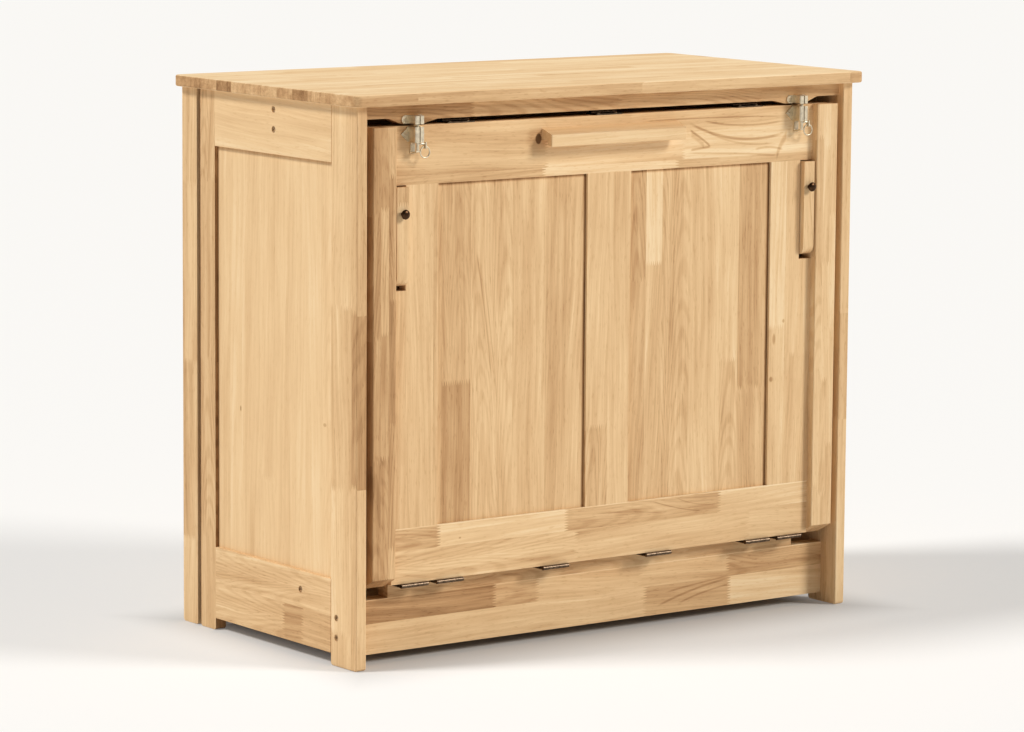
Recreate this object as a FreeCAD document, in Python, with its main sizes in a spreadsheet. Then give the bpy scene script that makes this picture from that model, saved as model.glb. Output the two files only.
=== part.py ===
import FreeCAD, Part
import math
import os
import re
import Sketcher

# A cabinet bed. Its front folds down on a row of hinges, a foot section unfolds from the
# front's far edge, and the deck inside the cabinet is the head end of the bed.
#
# Frame: millimetres, +Z up, X to the right, Y towards the back, origin on the floor at the
# centre of the bounding box. "Depth" below is a distance behind the front edge of the sides.

DIMENSIONS = (
    # top slab and cabinet
    ("slab_width", 1054, "top slab, left to right"),
    ("slab_depth", 543, "top slab, front to back"),
    ("slab_thick", 19, "top slab"),
    ("slab_corner", 14, "radius of the slab's corners in plan"),
    ("slab_ease", 3, "radius of the slab's edges"),
    ("total_height", 927, "floor to the top of the slab"),
    ("front_overhang", 16, "slab beyond the front edge of the sides"),
    ("cabinet_half", 513, "middle to the outer face of a side"),
    ("cabinet_depth", 519, "front to back of a side"),
    ("side_thick", 20, "side frame"),
    # side frames
    ("front_stile_wide", 73, "front stile of a side"),
    ("rear_stile_start", 418, "depth of the rear stile's front edge"),
    ("rear_stile_wide", 46, "rear stile of a side"),
    ("post_start", 474, "depth of the rear post's front edge"),
    ("side_rail_top_low", 815, "bottom of a side's top rail"),
    ("side_rail_low", 20, "bottom of a side's bottom rail"),
    ("side_rail_high", 141, "top of a side's bottom rail"),
    ("board_thin", 8, "flat panels and the back panel"),
    ("tongue", 8, "how far a flat panel enters its grooves"),
    ("side_recess", 6, "side panel behind the face of its frame"),
    ("foot_round", 5, "radius at the corners of the feet"),
    ("stile_ease", 2, "radius of the stiles' front edges"),
    # inside the cabinet
    ("cleat_start", 444, "depth of the corner cleats' front edge"),
    ("back_rail_start", 491, "depth of the back rails' front face"),
    ("back_rail_thick", 20, "back rails"),
    ("upper_rail_low", 838, "bottom of the back top rail and of the stretcher"),
    ("stretcher_mid", 240.8, "depth of the stretcher's middle"),
    ("stretcher_thick", 20, "top stretcher"),
    ("deck_top", 152.5, "sleeping surface above the floor"),
    ("slat_thick", 18, "deck slats"),
    ("slat_wide", 100, "deck slats"),
    ("slat_start", 42, "depth of the slats' front ends"),
    ("slat_end", 509, "depth of the slats' rear ends"),
    ("slat_reach", 468, "middle to the outer edge of the outer slat"),
    ("slat_count", 8, "deck slats"),
    ("cross_rail_mid", 161.2, "depth of the cross rail's middle"),
    ("cross_rail_tall", 50, "cross rail and back bottom rail"),
    # front of the cabinet
    ("header_middle", 882, "bottom of the header between the latches"),
    ("header_ends", 886, "bottom of the header at its ends"),
    ("header_bump", 876, "bottom of the header at the latches"),
    ("bump_inner", 374, "middle to the inner end of a bump"),
    ("bump_outer", 419, "middle to the outer end of a bump"),
    ("bump_slope", 25, "run of the slopes beside a bump"),
    ("bump_round", 22, "radius where a slope starts or ends"),
    ("apron_start", 40, "depth of the apron's face"),
    ("apron_thick", 28, "apron"),
    ("apron_low", 16, "bottom of the apron"),
    ("hinge_rail_low", 105.5, "bottom of the hinge rail"),
    ("hinge_rail_high", 126, "top of the hinge rail under the hinges"),
    ("hinge_rail_half", 424.5, "middle to the end of the hinge rail"),
    ("hinge_rail_face", 39.5, "depth of the hinge rail's face"),
    ("rebate_end", 54, "depth of the shoulder behind the lower hinges"),
    # front panel
    ("panel_face", 13, "depth of the front panel's and the header's face"),
    ("panel_thick", 20, "front panel and header"),
    ("door_low", 131.5, "bottom of the front panel"),
    ("door_high", 873, "top of the front panel"),
    ("door_half", 436, "middle to the end of the front panel's rails"),
    ("bottom_rail_high", 222, "top of the front panel's bottom rail"),
    ("top_rail_low", 778, "bottom of the front panel's top rail"),
    ("stile_inner", 346, "middle to the inner edge of a front stile"),
    ("centre_half", 45, "half the centre stile"),
    ("door_recess", 5, "flat panels behind the front panel's face"),
    ("rail_outer", 481, "middle to the outer face of a bed side rail"),
    ("bed_rail_deep", 33, "bed side rails, front to back"),
    ("bevel_high", 144.7, "front end of a side rail's bevel"),
    ("bevel_low", 127, "rear end of a side rail's bevel"),
    # pull handle
    ("handle_half", 140, "half the pull handle"),
    ("handle_reach", 27, "handle in front of the panel"),
    ("handle_low", 828, "bottom of the handle's lip"),
    ("handle_face_high", 848, "top of the handle's front face"),
    ("handle_back_high", 857, "top of the handle against the panel"),
    ("handle_under", 838, "underside of the handle against the panel"),
    ("handle_lip", 8, "lip of the handle, front to back"),
    ("handle_scoop", 4, "run of the slope behind the handle's lip"),
    # legs
    ("leg_inner", 411, "middle to a leg's inner face"),
    ("leg_wide", 22.5, "leg, left to right"),
    ("leg_face", 3, "depth of a folded leg's front"),
    ("leg_deep", 29.6, "leg, front to back"),
    ("leg_top", 776, "free end of a folded leg"),
    ("leg_pivot", 639, "height of a folded leg's pivot"),
    ("leg_round", 14.7, "radius of the pivot end"),
    ("leg_tail", 22.3, "front leg beyond its pivot"),
    ("notch_low", 608.5, "bottom of the notch for a leg"),
    ("notch_inner", 409.5, "middle to the inner side of the notch"),
    ("pivot_pin", 4, "radius of the leg pivots"),
    ("pin_bite", 12, "leg pivots into the wood at each end"),
    ("knob_height", 733, "leg knob above the floor"),
    ("knob_radius", 8, "head of a leg knob"),
    ("knob_stem", 7.5, "leg's face to the middle of the knob's head"),
    ("knob_dome", 4.2, "half the thickness of the knob's head"),
    # foot panel, folded
    ("foot_face", 35, "depth of the folded foot panel's sleeping face"),
    ("foot_low", 200, "free end of the folded foot panel"),
    ("foot_rail_tall", 90, "near and far rails of the foot panel"),
    ("foot_chamfer", 10, "bevel that lets the foot panel pass the header"),
    ("foot_board", 12, "deck board of the foot panel"),
    ("foot_pivot", 245, "height of the folded foot legs' pivots"),
    ("foot_leg_sunk", 0.4, "foot legs behind the sleeping face"),
    ("foot_leg_space", 2, "space at each end of a folded foot leg"),
    # hinges
    ("hinge_depth", 9, "depth of the lower hinge axis"),
    ("hinge_height", 128.5, "height of the lower hinge axis"),
    ("fold_depth", 34, "depth of the fold hinge axis"),
    ("fold_height", 876.7, "height of the fold hinge axis"),
    ("barrel", 3.5, "radius of a hinge barrel"),
    ("hinge_long", 53, "hinge, end to end"),
    ("leaf_thick", 2, "hinge leaves"),
    ("leaf_start", 0.5, "from a barrel to the plate of its leaf"),
    ("rail_leaf", 40, "lower hinges, leaf on the hinge rail"),
    ("door_leaf", 19, "lower hinges, leaf under the front panel"),
    ("near_leaf", 15, "fold hinges, leaf on the front panel"),
    ("foot_leaf", 7, "fold hinges, leaf on the foot panel"),
    ("hinge_pin", 1.5, "radius of a hinge pin"),
    ("running_gap", 0.05, "radial clearance of pins in their bores"),
    ("knuckle_gap", 0.4, "space between two knuckles"),
    # latches
    ("latch_from_mid", 398, "middle to a latch's bolt"),
    ("latch_depth", -2, "depth of a latch's bolt"),
    ("bolt_radius", 3, "latch bolt"),
    ("bolt_low", 834, "lower end of the drawn bolt"),
    ("bolt_high", 876, "upper end of the drawn bolt"),
    ("bolt_nose", 1.2, "radius of the bolt's upper edge"),
    ("case_half", 9, "half the width of a latch case or keeper"),
    ("case_front", -9, "depth of the front of a latch case or keeper"),
    ("case_round", 2.4, "radius of its front edges"),
    ("case_low", 847, "bottom of the latch case"),
    ("case_high", 872, "top of the latch case"),
    ("groove_half", 1, "half the slot down the front of a case"),
    ("plate_low", 827.5, "bottom of the latch plate"),
    ("plate_half", 4.5, "half the latch plate's lower strip"),
    ("lip_rise", 4, "front of the lip above the bottom of the plate"),
    ("wing_reach", 23, "middle of a latch to the tip of its wing"),
    ("sheet_thick", 2, "latch plates"),
    ("keeper_low", 876.5, "bottom of a keeper"),
    ("keeper_high", 889.8, "top of a keeper"),
    ("keeper_play", 0.6, "radial clearance of the bolt in its keeper"),
    ("ear_reach", 21.5, "middle of a keeper to the end of its ear"),
    ("arm_height", 844.5, "side arm of the drawn bolt"),
    ("arm_reach", 14.5, "bolt axis to the middle of its eye"),
    ("arm_radius", 1.8, "side arm"),
    ("arm_slot_half", 2.4, "half the slot for the side arm"),
    ("arm_slot_tall", 10, "slot for the side arm"),
    ("eye_thick", 2, "eye of the side arm, left to right"),
    ("eye_half", 3.5, "half the eye, front to back"),
    ("eye_drop", 4.5, "side arm down to the eye's hole"),
    ("eye_above", 2.5, "eye above the side arm"),
    ("eye_below", 3.4, "eye below the middle of its hole"),
    ("ring_radius", 9, "pull ring, to the middle of its wire"),
    ("ring_wire", 1.2, "radius of the ring's wire"),
    ("ring_play", 0.9, "radial clearance of the ring in its eye"),
    # side bolts
    ("head_radius", 5.6, "side bolt heads"),
    ("head_thick", 2.5, "side bolt heads"),
    ("head_sunk", 1.5, "side bolt heads below the face of the wood"),
    ("shank_radius", 3, "side bolts"),
    ("socket_radius", 2.8, "driving socket in a side bolt's head"),
    ("shank_long", 45, "side bolts under the head"),
)

LEFT, RIGHT = -1, 1
SIDES = ((LEFT, "left"), (RIGHT, "right"))
HINGE_CENTRES = (-393, -323, -108, 108, 323, 393)
FOLD_HINGE_CENTRES = (-300, 0, 300)
SHANK_INNER = "cabinet_half - head_sunk - head_thick - shank_long"
BOLT_PLACES = ((240.8, 887.6), (240.8, 855.2), (161.2, 110.1), (56.4, 79.4), (56.4, 46.7))

doc = FreeCAD.newDocument("CabinetBed")
sheet = doc.addObject("Spreadsheet::Sheet", "Sizes")
pieces = {}


def fill_sheet():
    for row, (alias, value, note) in enumerate(DIMENSIONS, start=1):
        sheet.set(f"A{row}", note)
        sheet.set(f"B{row}", str(value))
        sheet.setAlias(f"B{row}", alias)
    doc.recompute()


def size(alias):
    return float(sheet.get(alias))


def bound(text):
    """An expression in which every word is a cell of the sheet."""
    return re.sub(r"[a-z_]+", lambda word: "Sizes." + word.group(0), str(text))


def from_front(depth):
    """The Y expression of a place at this depth behind the sides' front edge."""
    return f"{depth} + front_overhang - slab_depth / 2"


def y_of(depth):
    return depth + size("front_overhang") - size("slab_depth") / 2


def put(thing, x, y, z):
    thing.setExpression(".Placement.Base.x", bound(x))
    thing.setExpression(".Placement.Base.y", bound(from_front(y)))
    thing.setExpression(".Placement.Base.z", bound(z))
    return thing


def mirrored_low(side, inner, width):
    """The low X of a piece that starts at inner on the right, or its mirror on the left."""
    if side == RIGHT:
        return f"{inner}"
    return f"-({inner}) - ({width})"


# ---------------------------------------------------------------- plain building blocks

def block(name, x, y, z):
    """A box. Each of x, y and z is its low corner (y as a depth) and its extent."""
    box = doc.addObject("Part::Box", name)
    box.setExpression("Length", bound(x[1]))
    box.setExpression("Width", bound(y[1]))
    box.setExpression("Height", bound(z[1]))
    return put(box, x[0], y[0], z[0])


def span(low, high):
    return (low, f"{high} - ({low})")


def rod(name, radius, long, x, y, z, along):
    """A round bar that starts at x, y (a depth), z and runs along one axis."""
    turns = {
        "X": FreeCAD.Rotation(FreeCAD.Vector(0, 1, 0), 90),
        "Y": FreeCAD.Rotation(FreeCAD.Vector(1, 0, 0), -90),
        "Z": FreeCAD.Rotation(),
    }
    bar = doc.addObject("Part::Cylinder", name)
    bar.Placement = FreeCAD.Placement(FreeCAD.Vector(), turns[along])
    bar.setExpression("Radius", bound(radius))
    bar.setExpression("Height", bound(long))
    return put(bar, x, y, z)


def fuse(name, shapes):
    if len(shapes) == 1:
        return shapes[0]
    joined = doc.addObject("Part::MultiFuse", name)
    joined.Shapes = shapes
    return joined


def cut(name, base, tools):
    if not tools:
        return base
    result = doc.addObject("Part::Cut", name)
    result.Base = base
    result.Tool = fuse(name + "_cutters", tools)
    return result


def group(name, members):
    together = doc.addObject("Part::Compound", name)
    together.Links = members
    return together


def rounded(name, base, radius, wanted):
    """The same solid with the edges that wanted() picks rounded."""
    doc.recompute()
    edges = [
        (number, radius, radius)
        for number, edge in enumerate(base.Shape.Edges, start=1)
        if wanted(edge)
    ]
    result = doc.addObject("Part::Fillet", name)
    result.Base = base
    result.Edges = edges
    return result


def keep(label, thing):
    """Register a finished piece under the name of its node."""
    thing.Label = label
    pieces[label] = thing
    return thing


def runs_along(edge, axis):
    if edge.Length < 1e-6 or not isinstance(edge.Curve, Part.Line):
        return False
    return abs(abs(edge.Curve.Direction.dot(axis)) - 1) < 1e-6


X_AXIS = FreeCAD.Vector(1, 0, 0)
Y_AXIS = FreeCAD.Vector(0, 1, 0)
Z_AXIS = FreeCAD.Vector(0, 0, 1)


# ---------------------------------------------------------------- sketched bodies

def origin_plane(body, role):
    return next(part for part in body.Origin.OriginFeatures if part.Role == role)


def pin_point(sketch, line, across, up):
    """Fix the start of a line at two bound distances from the sketch's origin."""
    start = sketch.Geometry[line].StartPoint
    for kind, value, words in (("DistanceX", start.x, across), ("DistanceY", start.y, up)):
        number = sketch.addConstraint(Sketcher.Constraint(kind, -1, 1, line, 1, value))
        sketch.setExpression(f"Constraints[{number}]", bound(words))


def sketched(name, plane, corners, long, flip=False):
    """A body whose closed outline, given as bound corners, is padded square to its plane."""
    body = doc.addObject("PartDesign::Body", name)
    sketch = body.newObject("Sketcher::SketchObject", name + "_outline")
    sketch.AttachmentSupport = (origin_plane(body, plane), [""])
    sketch.MapMode = "FlatFace"
    turn = 2 * math.pi / len(corners)
    ring = [
        FreeCAD.Vector(100 * math.cos(turn * i + 0.1), 100 * math.sin(turn * i + 0.1), 0)
        for i in range(len(corners))
    ]
    for here, there in zip(ring, ring[1:] + ring[:1]):
        sketch.addGeometry(Part.LineSegment(here, there))
    for line in range(len(corners)):
        after = (line + 1) % len(corners)
        sketch.addConstraint(Sketcher.Constraint("Coincident", line, 2, after, 1))
    for line, (across, up) in enumerate(corners):
        pin_point(sketch, line, across, up)
    pad = body.newObject("PartDesign::Pad", name + "_pad")
    pad.Profile = sketch
    pad.Reversed = flip
    pad.setExpression("Length", bound(long))
    doc.recompute()
    return body


def ease(body, radius, wanted):
    """Round the picked edges of a body's latest feature."""
    tip = body.Tip
    names = [
        f"Edge{number}"
        for number, edge in enumerate(tip.Shape.Edges, start=1)
        if wanted(edge)
    ]
    fillet = body.newObject("PartDesign::Fillet", body.Name + "_" + radius)
    fillet.Base = (tip, names)
    fillet.setExpression("Radius", bound(radius))
    doc.recompute()
    return body


# ---------------------------------------------------------------- cabinet

def top_slab():
    corners = (
        ("0", "0"),
        ("slab_width", "0"),
        ("slab_width", "slab_depth"),
        ("0", "slab_depth"),
    )
    slab = sketched("top_slab", "XY_Plane", corners, "slab_thick")
    ease(slab, "slab_corner", lambda edge: runs_along(edge, Z_AXIS))
    ease(slab, "slab_ease", lambda edge: edge.BoundBox.ZLength < 1e-6)
    put(slab, "-slab_width / 2", "-front_overhang", "total_height - slab_thick")
    keep("top_slab", slab)


def bolt_holes(side, word, wanted):
    """Stepped holes for the side bolts whose number is wanted, through a side's frame."""
    holes = []
    for number in wanted:
        depth, height = BOLT_PLACES[number]
        tag = f"{word}_{number}"
        sunk = "head_thick + head_sunk"
        head_low = mirrored_low(side, f"cabinet_half - ({sunk})", sunk)
        shank_low = mirrored_low(side, "cabinet_half - side_thick", "side_thick")
        holes.append(rod(f"head_hole_{tag}", "head_radius", sunk, head_low, depth, height, "X"))
        holes.append(rod(f"shank_hole_{tag}", "shank_radius", "side_thick", shank_low, depth, height, "X"))
    return holes


def rounded_foot(name, blank, front_low, ease_front):
    """Round the two lower corners of a foot and, on a front stile, its front edges."""
    doc.recompute()
    low = blank.Shape.BoundBox.ZMin
    foot = rounded(
        name,
        blank,
        size("foot_round"),
        lambda edge: runs_along(edge, X_AXIS) and abs(edge.BoundBox.ZMax - low) < 1e-6,
    )
    if not ease_front:
        return foot
    doc.recompute()
    front = y_of(front_low)
    return rounded(
        name + "_eased",
        foot,
        size("stile_ease"),
        lambda edge: runs_along(edge, Z_AXIS) and abs(edge.BoundBox.YMax - front) < 1e-6,
    )


def side_frame(side, word):
    side_x = (mirrored_low(side, "cabinet_half - side_thick", "side_thick"), "side_thick")
    slab_low = "total_height - slab_thick"
    panel_inner = "cabinet_half - side_recess - board_thin"
    panel_x = (mirrored_low(side, panel_inner, "board_thin"), "board_thin")
    panel_y = span("front_stile_wide - tongue", "rear_stile_start + tongue")
    panel_z = span("side_rail_high - tongue", "side_rail_top_low + tongue")

    def groove(name):
        return block(name, panel_x, panel_y, panel_z)

    front = block(f"front_stile_blank_{word}", side_x, ("0", "front_stile_wide"), ("0", slab_low))
    front = rounded_foot(f"front_stile_foot_{word}", front, 0, True)
    front_cuts = [groove(f"front_groove_{word}")] + bolt_holes(side, word, (3, 4))
    keep(f"side_front_stile_{word}", cut(f"front_stile_{word}", front, front_cuts))

    rear_y = ("rear_stile_start", "rear_stile_wide")
    rear = block(f"rear_stile_blank_{word}", side_x, rear_y, ("0", slab_low))
    rear = rounded_foot(f"rear_stile_foot_{word}", rear, 0, False)
    keep(f"side_rear_stile_{word}", cut(f"rear_stile_{word}", rear, [groove(f"rear_groove_{word}")]))

    rail_y = span("front_stile_wide", "rear_stile_start")
    top = block(f"top_rail_blank_{word}", side_x, rail_y, span("side_rail_top_low", slab_low))
    top_cuts = [groove(f"top_groove_{word}")] + bolt_holes(side, word, (0, 1))
    keep(f"side_top_rail_{word}", cut(f"top_rail_{word}", top, top_cuts))

    low = block(f"bottom_rail_blank_{word}", side_x, rail_y, span("side_rail_low", "side_rail_high"))
    low_cuts = [groove(f"bottom_groove_{word}")] + bolt_holes(side, word, (2,))
    keep(f"side_bottom_rail_{word}", cut(f"bottom_rail_{word}", low, low_cuts))

    keep(f"side_panel_{word}", block(f"side_board_{word}", panel_x, panel_y, panel_z))

    post_y = span("post_start", "cabinet_depth")
    post = block(f"post_blank_{word}", side_x, post_y, ("0", slab_low))
    keep(f"rear_post_{word}", rounded_foot(f"post_{word}", post, 0, False))


def corner_cleats():
    cleats = []
    for side, word in SIDES:
        x = (mirrored_low(side, "cabinet_half - 2 * side_thick", "side_thick"), "side_thick")
        y = span("cleat_start", "back_rail_start + back_rail_thick")
        z = span("deck_top - slat_thick - cross_rail_tall", "total_height - slab_thick")
        cleats.append(block(f"cleat_{word}", x, y, z))
    keep("rear_cleats", group("cleats", cleats))


def across(name, half, y, z):
    """A rail that runs from side to side."""
    return block(name, (f"-({half})", f"2 * ({half})"), y, z)


def back():
    inner = "cabinet_half - side_thick"
    slab_low = "total_height - slab_thick"
    between_cleats = "cabinet_half - 2 * side_thick"
    rail_y = ("back_rail_start", "back_rail_thick")
    panel_y = ("back_rail_start + back_rail_thick", "board_thin")
    keep("back_panel", across("back_board", inner, panel_y, span("side_rail_low", slab_low)))
    upper = across("back_upper", between_cleats, rail_y, span("upper_rail_low", slab_low))
    keep("back_top_rail", upper)
    low_z = span("deck_top - slat_thick - cross_rail_tall", "deck_top - slat_thick")
    keep("back_bottom_rail", across("back_lower", between_cleats, rail_y, low_z))


def inner_bolt_holes(name, places):
    """Blind holes for the bolts' shanks in the ends of a rail between the sides."""
    holes = []
    for number in places:
        depth, height = BOLT_PLACES[number]
        for side, word in SIDES:
            low = mirrored_low(side, SHANK_INNER, "shank_long")
            tag = f"{name}_{number}_{word}"
            holes.append(rod(tag, "shank_radius", "shank_long", low, depth, height, "X"))
    return holes


def inner_rails():
    inner = "cabinet_half - side_thick"
    stretcher_y = ("stretcher_mid - stretcher_thick / 2", "stretcher_thick")
    stretcher_z = span("upper_rail_low", "total_height - slab_thick")
    stretcher = across("stretcher_blank", inner, stretcher_y, stretcher_z)
    holes = inner_bolt_holes("stretcher", (0, 1))
    keep("top_stretcher", cut("stretcher", stretcher, holes))

    cross_y = ("cross_rail_mid - side_thick / 2", "side_thick")
    cross_z = span("deck_top - slat_thick - cross_rail_tall", "deck_top - slat_thick")
    cross = across("cross_blank", inner, cross_y, cross_z)
    keep("deck_cross_rail", cut("cross_rail", cross, inner_bolt_holes("cross", (2,))))

    apron_y = ("apron_start", "apron_thick")
    apron = across("apron_blank", inner, apron_y, span("apron_low", "hinge_rail_low"))
    keep("front_apron", cut("apron", apron, inner_bolt_holes("apron", (3, 4))))


def deck_slats():
    count = int(size("slat_count"))
    slats = []
    for number in range(count):
        step = f"{number} * (2 * slat_reach - slat_wide) / (slat_count - 1)"
        x = (f"-slat_reach + {step}", "slat_wide")
        y = span("slat_start", "slat_end")
        slats.append(block(f"slat_{number + 1}", x, y, ("deck_top - slat_thick", "slat_thick")))
    keep("deck_slats", group("slats", slats))


def side_bolts():
    bolts = []
    for side, word in SIDES:
        for number, (depth, height) in enumerate(BOLT_PLACES):
            head_low = mirrored_low(side, "cabinet_half - head_sunk - head_thick", "head_thick")
            shank_low = mirrored_low(side, SHANK_INNER, "shank_long")
            tag = f"{word}_{number}"
            head = rod(f"head_{tag}", "head_radius", "head_thick", head_low, depth, height, "X")
            shank = rod(f"shank_{tag}", "shank_radius", "shank_long", shank_low, depth, height, "X")
            socket_inner = "cabinet_half - head_sunk - head_thick / 2"
            socket_low = mirrored_low(side, socket_inner, "head_thick / 2")
            socket = rod(f"socket_{tag}", "socket_radius", "head_thick / 2", socket_low, depth, height, "X")
            bolts.append(cut(f"bolt_{tag}", fuse(f"bolt_blank_{tag}", [head, shank]), [socket]))
    keep("side_bolts", group("bolts", bolts))


def header_rail():
    """The rail under the slab, lower at the two latches, with smooth slopes between."""
    half = "cabinet_half - side_thick"
    outline = []
    for sign in ("-", ""):
        steps = [
            ("bump_inner - bump_slope", "header_middle"),
            ("bump_inner", "header_bump"),
            ("bump_outer", "header_bump"),
            ("bump_outer + bump_slope", "header_ends"),
            (half, "header_ends"),
            (half, "total_height - slab_thick"),
        ]
        corners = [(f"{half} + {sign}({x})" if sign else f"{half} + {x}", z) for x, z in steps]
        outline.append(corners)
    left, right = outline
    corners = left[::-1] + right
    local = [(x, f"{z} - header_bump") for x, z in corners]
    rail = sketched("header_rail", "XZ_Plane", local, "panel_thick", flip=True)
    shoulder = size("bump_outer") + size("bump_slope") + 1
    middle = size("cabinet_half") - size("side_thick")
    ease(
        rail,
        "bump_round",
        lambda edge: runs_along(edge, Y_AXIS) and abs(edge.CenterOfMass.x - middle) < shoulder,
    )
    put(rail, f"-({half})", "panel_face", "header_bump")
    keep("header_rail", rail)


def hinge_rail():
    """A rebated strip: the hinges lie in the rebate and the slats on the shoulder behind it."""
    back_edge = "apron_start + apron_thick - hinge_rail_face"
    corners = (
        ("0", "0"),
        (back_edge, "0"),
        (back_edge, "deck_top - slat_thick - hinge_rail_low"),
        ("rebate_end - hinge_rail_face", "deck_top - slat_thick - hinge_rail_low"),
        ("rebate_end - hinge_rail_face", "hinge_rail_high - hinge_rail_low"),
        ("0", "hinge_rail_high - hinge_rail_low"),
    )
    rail = sketched("hinge_rail", "YZ_Plane", corners, "2 * hinge_rail_half")
    put(rail, "-hinge_rail_half", "hinge_rail_face", "hinge_rail_low")
    keep("hinge_rail", rail)


# ---------------------------------------------------------------- hinges

def knuckles(name, centre, depth, height, numbers, toward, leaf_low):
    """The knuckles of one leaf with the webs that tie them to its plate."""
    shapes = []
    for number in numbers:
        low = f"{centre} - hinge_long / 2 + {number} * hinge_long / 5 + knuckle_gap / 2"
        long = "hinge_long / 5 - knuckle_gap"
        tag = f"{name}_{number}"
        shapes.append(rod(f"{tag}_knuckle", "barrel", long, low, depth, height, "X"))
        reach = "barrel + 2 * leaf_start"
        web_low = depth if toward > 0 else f"{depth} - ({reach})"
        web_z = (f"{height} + ({leaf_low})", "leaf_thick")
        shapes.append(block(f"{tag}_web", (low, long), (web_low, reach), web_z))
    return shapes


def hinge_leaf(name, centre, depth, height, numbers, toward, leaf_low, wide):
    """One leaf: its plate lies to the back (toward 1) or to the front (-1) of the axis."""
    start = "barrel + leaf_start"
    plate_y = f"{depth} + {start}" if toward > 0 else f"{depth} - ({start}) - ({wide})"
    plate_x = (f"{centre} - hinge_long / 2", "hinge_long")
    plate_z = (f"{height} + ({leaf_low})", "leaf_thick")
    plate = block(f"{name}_plate", plate_x, (plate_y, wide), plate_z)
    solid = fuse(f"{name}_blank", [plate] + knuckles(name, centre, depth, height, numbers, toward, leaf_low))
    bore_low = f"{centre} - hinge_long / 2 - 1"
    bore_radius = "hinge_pin + running_gap"
    bore = rod(f"{name}_bore", bore_radius, "hinge_long + 2", bore_low, depth, height, "X")
    return cut(name, solid, [bore])


def pins(name, centres, depth, height):
    bars = [
        rod(f"{name}_{i}", "hinge_pin", "hinge_long", f"{x} - hinge_long / 2", depth, height, "X")
        for i, x in enumerate(centres)
    ]
    return group(name, bars)


def lower_hinges():
    axis = ("hinge_depth", "hinge_height")
    fixed = [
        hinge_leaf(f"fixed_leaf_{i}", x, *axis, (0, 2, 4), 1, "hinge_rail_high - hinge_height", "rail_leaf")
        for i, x in enumerate(HINGE_CENTRES)
    ]
    under_door = "door_low - leaf_thick - hinge_height"
    moving = [
        hinge_leaf(f"moving_leaf_{i}", x, *axis, (1, 3), 1, under_door, "door_leaf")
        for i, x in enumerate(HINGE_CENTRES)
    ]
    keep("cabinet_hinge_leaves", group("fixed_leaves", fixed))
    keep("door_hinge_leaves", group("moving_leaves", moving))
    keep("lower_hinge_pins", pins("lower_pins", HINGE_CENTRES, *axis))


def fold_hinges():
    axis = ("fold_depth", "fold_height")
    on_edge = "door_high - fold_height"
    door_side = [
        hinge_leaf(f"fold_door_leaf_{i}", x, *axis, (0, 2, 4), -1, on_edge, "near_leaf")
        for i, x in enumerate(FOLD_HINGE_CENTRES)
    ]
    foot_side = [
        hinge_leaf(f"fold_foot_leaf_{i}", x, *axis, (1, 3), 1, on_edge, "foot_leaf")
        for i, x in enumerate(FOLD_HINGE_CENTRES)
    ]
    keep("fold_hinge_door_leaves", group("fold_door_leaves", door_side))
    keep("fold_hinge_foot_leaves", group("fold_foot_leaves", foot_side))
    keep("fold_hinge_pins", pins("fold_pins", FOLD_HINGE_CENTRES, *axis))


# ---------------------------------------------------------------- front panel

def door_frame():
    face = ("panel_face", "panel_thick")
    board_y = ("panel_face + door_recess", "board_thin")

    def boards(tag):
        """The space of the two flat panels, which is also the grooves that hold them."""
        z = span("bottom_rail_high - tongue", "top_rail_low + tongue")
        inner, wide = "centre_half - tongue", "stile_inner - centre_half + 2 * tongue"
        return [
            block(f"{tag}_{word}", (mirrored_low(side, inner, wide), wide), board_y, z)
            for side, word in SIDES
        ]

    top = across("door_top_blank", "door_half", face, span("top_rail_low", "door_high"))
    keep("door_top_rail", cut("door_top", top, boards("top_groove")))
    low = across("door_low_blank", "door_half", face, span("door_low", "bottom_rail_high"))
    keep("door_bottom_rail", cut("door_lower", low, boards("low_groove")))
    stile_z = span("bottom_rail_high", "top_rail_low")
    centre = across("centre_blank", "centre_half", face, stile_z)
    keep("door_centre_stile", cut("centre_stile", centre, boards("centre_groove")))
    for (side, word), board in zip(SIDES, boards("board")):
        keep(f"door_panel_{word}", board)
        wide = "door_half - stile_inner"
        stile = block(f"stile_blank_{word}", (mirrored_low(side, "stile_inner", wide), wide), face, stile_z)
        notch_wide = "door_half - notch_inner"
        notch_x = (mirrored_low(side, "notch_inner", notch_wide), notch_wide)
        notch = block(f"notch_{word}", notch_x, face, span("notch_low", "top_rail_low"))
        cuts = boards(f"stile_groove_{word}") + [notch, leg_pin(side, word, "stile")]
        keep(f"door_stile_{word}", cut(f"door_stile_cut_{word}", stile, cuts))


def leg_pin(side, word, use):
    """The pivot of a front leg, which runs from the stile through the leg into the side rail."""
    inner, wide = "notch_inner - pin_bite", "door_half - notch_inner + 2 * pin_bite"
    depth = "leg_face + leg_deep / 2"
    x = mirrored_low(side, inner, wide)
    return rod(f"pin_{use}_{word}", "pivot_pin", wide, x, depth, "leg_pivot", "X")


def bed_side_rails():
    """Deep side rails of the front panel; the bevel clears the hinge rail as they swing."""
    for side, word in SIDES:
        corners = (
            ("0", "bevel_high - bevel_low"),
            ("bed_rail_deep", "0"),
            ("bed_rail_deep", "door_high - bevel_low"),
            ("0", "door_high - bevel_low"),
        )
        wide = "rail_outer - door_half"
        rail = sketched(f"side_rail_{word}", "YZ_Plane", corners, wide)
        ease(rail, "stile_ease", lambda edge: runs_along(edge, Z_AXIS) and edge.BoundBox.YMax < 1)
        put(rail, mirrored_low(side, "door_half", wide), "0", "bevel_low")
        bored = cut(f"side_rail_bored_{word}", rail, [leg_pin(side, word, "rail")])
        keep(f"door_side_rail_{word}", bored)


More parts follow.
